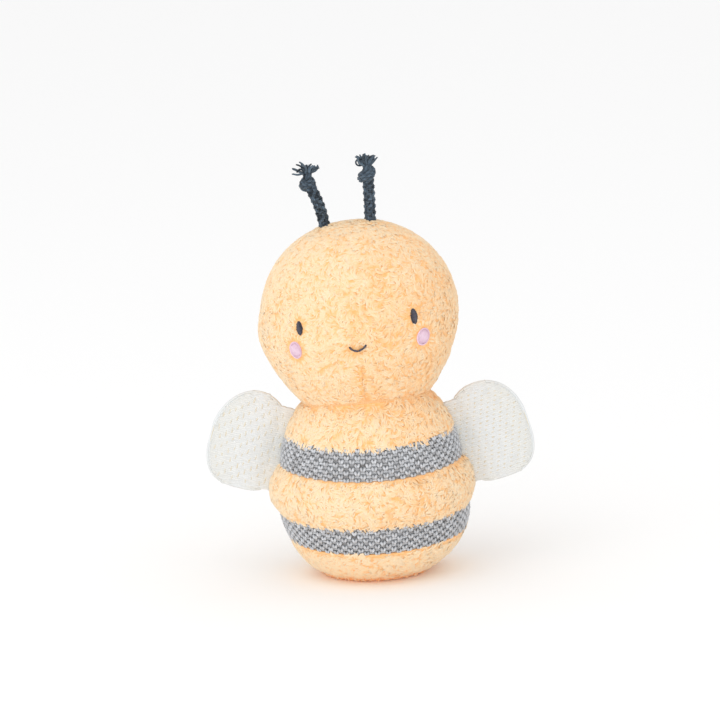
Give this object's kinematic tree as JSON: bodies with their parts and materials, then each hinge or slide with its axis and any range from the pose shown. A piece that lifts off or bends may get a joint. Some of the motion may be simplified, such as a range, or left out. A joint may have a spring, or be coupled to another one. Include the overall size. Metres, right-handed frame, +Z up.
{
  "type": "plush bee",
  "caption": "Sitting plush bee with a round fleece head, embroidered face, knotted cord antennae, fleece body with knitted stripes, and padded knitted wings sewn into the side seams",
  "frame": {"origin": "Middle of the base disc, on the table.", "axes": "+Z up, the face looks along -Y, +X is the bee's own left."},
  "size_m": [0.1634, 0.1038, 0.2122],
  "materials": {
    "fleece": "curly short-pile fleece, apricot cream",
    "stripe_knit": "tuck-stitch knit in light and dark grey marl",
    "wing_knit": "tuck-stitch knit in ivory",
    "cord": "braided slate-navy marl cord",
    "eye_thread": "charcoal satin-stitch embroidery thread",
    "cheek_thread": "pale pink embroidery thread",
    "seam_thread": "sewing thread in the fleece colour",
    "stuffing": "white polyester fibre filling",
    "bag_cloth": "plain woven bag filled with plastic pellets"
  },
  "bodies": {
    "body": {"base_disc": "fleece", "lower_front": "fleece", "lower_back": "fleece", "lower_stripe_front": "stripe_knit", "lower_stripe_back": "stripe_knit", "belly_front": "fleece", "belly_back": "fleece", "upper_stripe_front": "stripe_knit", "upper_stripe_back": "stripe_knit", "shoulder_front": "fleece", "shoulder_back": "fleece", "body_stuffing": "stuffing", "pellet_bag": "bag_cloth"},
    "neck_seam": {"neck_seam": "seam_thread"},
    "neck": {"neck_stuffing": "stuffing"},
    "head": {"head_front_left": "fleece", "head_front_right": "fleece", "head_back_left": "fleece", "head_back_right": "fleece", "head_stuffing": "stuffing", "left_eye": "eye_thread", "right_eye": "eye_thread", "left_cheek": "cheek_thread", "right_cheek": "cheek_thread", "smile": "eye_thread"},
    "left_antenna_root": {"left_antenna_root": "cord"},
    "left_antenna": {"left_antenna": "cord"},
    "right_antenna_root": {"right_antenna_root": "cord"},
    "right_antenna": {"right_antenna": "cord"},
    "left_wing": {"left_wing_front": "wing_knit", "left_wing_back": "wing_knit", "left_wing_wadding": "stuffing", "left_wing_roll": "wing_knit"},
    "right_wing": {"right_wing_front": "wing_knit", "right_wing_back": "wing_knit", "right_wing_wadding": "stuffing", "right_wing_roll": "wing_knit"}
  },
  "joints": [
    {"name": "head_turn", "type": "hinge", "parent": "body", "child": "neck_seam", "pos_m": [-0.0016, 0, 0.11595], "axis": [0, 0, 1], "range_deg": [-25, 25], "stiffness_Nm_per_rad": 0.2},
    {"name": "head_tilt", "type": "hinge", "parent": "neck_seam", "child": "neck", "pos_m": [-0.0016, 0, 0.11595], "axis": [0, 1, 0], "range_deg": [-12, 12], "stiffness_Nm_per_rad": 0.25},
    {"name": "head_nod", "type": "hinge", "parent": "neck", "child": "head", "pos_m": [-0.0016, 0, 0.11595], "axis": [1, 0, 0], "range_deg": [-12, 12], "stiffness_Nm_per_rad": 0.25},
    {"name": "left_wing_flap", "type": "hinge", "parent": "body", "child": "left_wing", "pos_m": [0.04703, 0, 0.06554], "axis": [0.2861, 0, -0.9582], "range_deg": [-60, 60], "stiffness_Nm_per_rad": 0.006},
    {"name": "right_wing_flap", "type": "hinge", "parent": "body", "child": "right_wing", "pos_m": [-0.04703, 0, 0.06554], "axis": [0.2861, 0, 0.9582], "range_deg": [-60, 60], "stiffness_Nm_per_rad": 0.006},
    {"name": "left_antenna_sway", "type": "hinge", "parent": "head", "child": "left_antenna_root", "pos_m": [0.00458, 0, 0.17891], "axis": [0, 1, 0], "range_deg": [-7.5, 25], "stiffness_Nm_per_rad": 0.003},
    {"name": "left_antenna_nod", "type": "hinge", "parent": "left_antenna_root", "child": "left_antenna", "pos_m": [0.00458, 0, 0.17891], "axis": [1, 0, 0], "range_deg": [-25, 25], "stiffness_Nm_per_rad": 0.003},
    {"name": "right_antenna_sway", "type": "hinge", "parent": "head", "child": "right_antenna_root", "pos_m": [-0.01835, 0, 0.17693], "axis": [0, -1, 0], "range_deg": [-21.5, 11.5], "stiffness_Nm_per_rad": 0.003},
    {"name": "right_antenna_nod", "type": "hinge", "parent": "right_antenna_root", "child": "right_antenna", "pos_m": [-0.01835, 0, 0.17693], "axis": [1, 0, 0], "range_deg": [-25, 25], "stiffness_Nm_per_rad": 0.003}
  ]
}
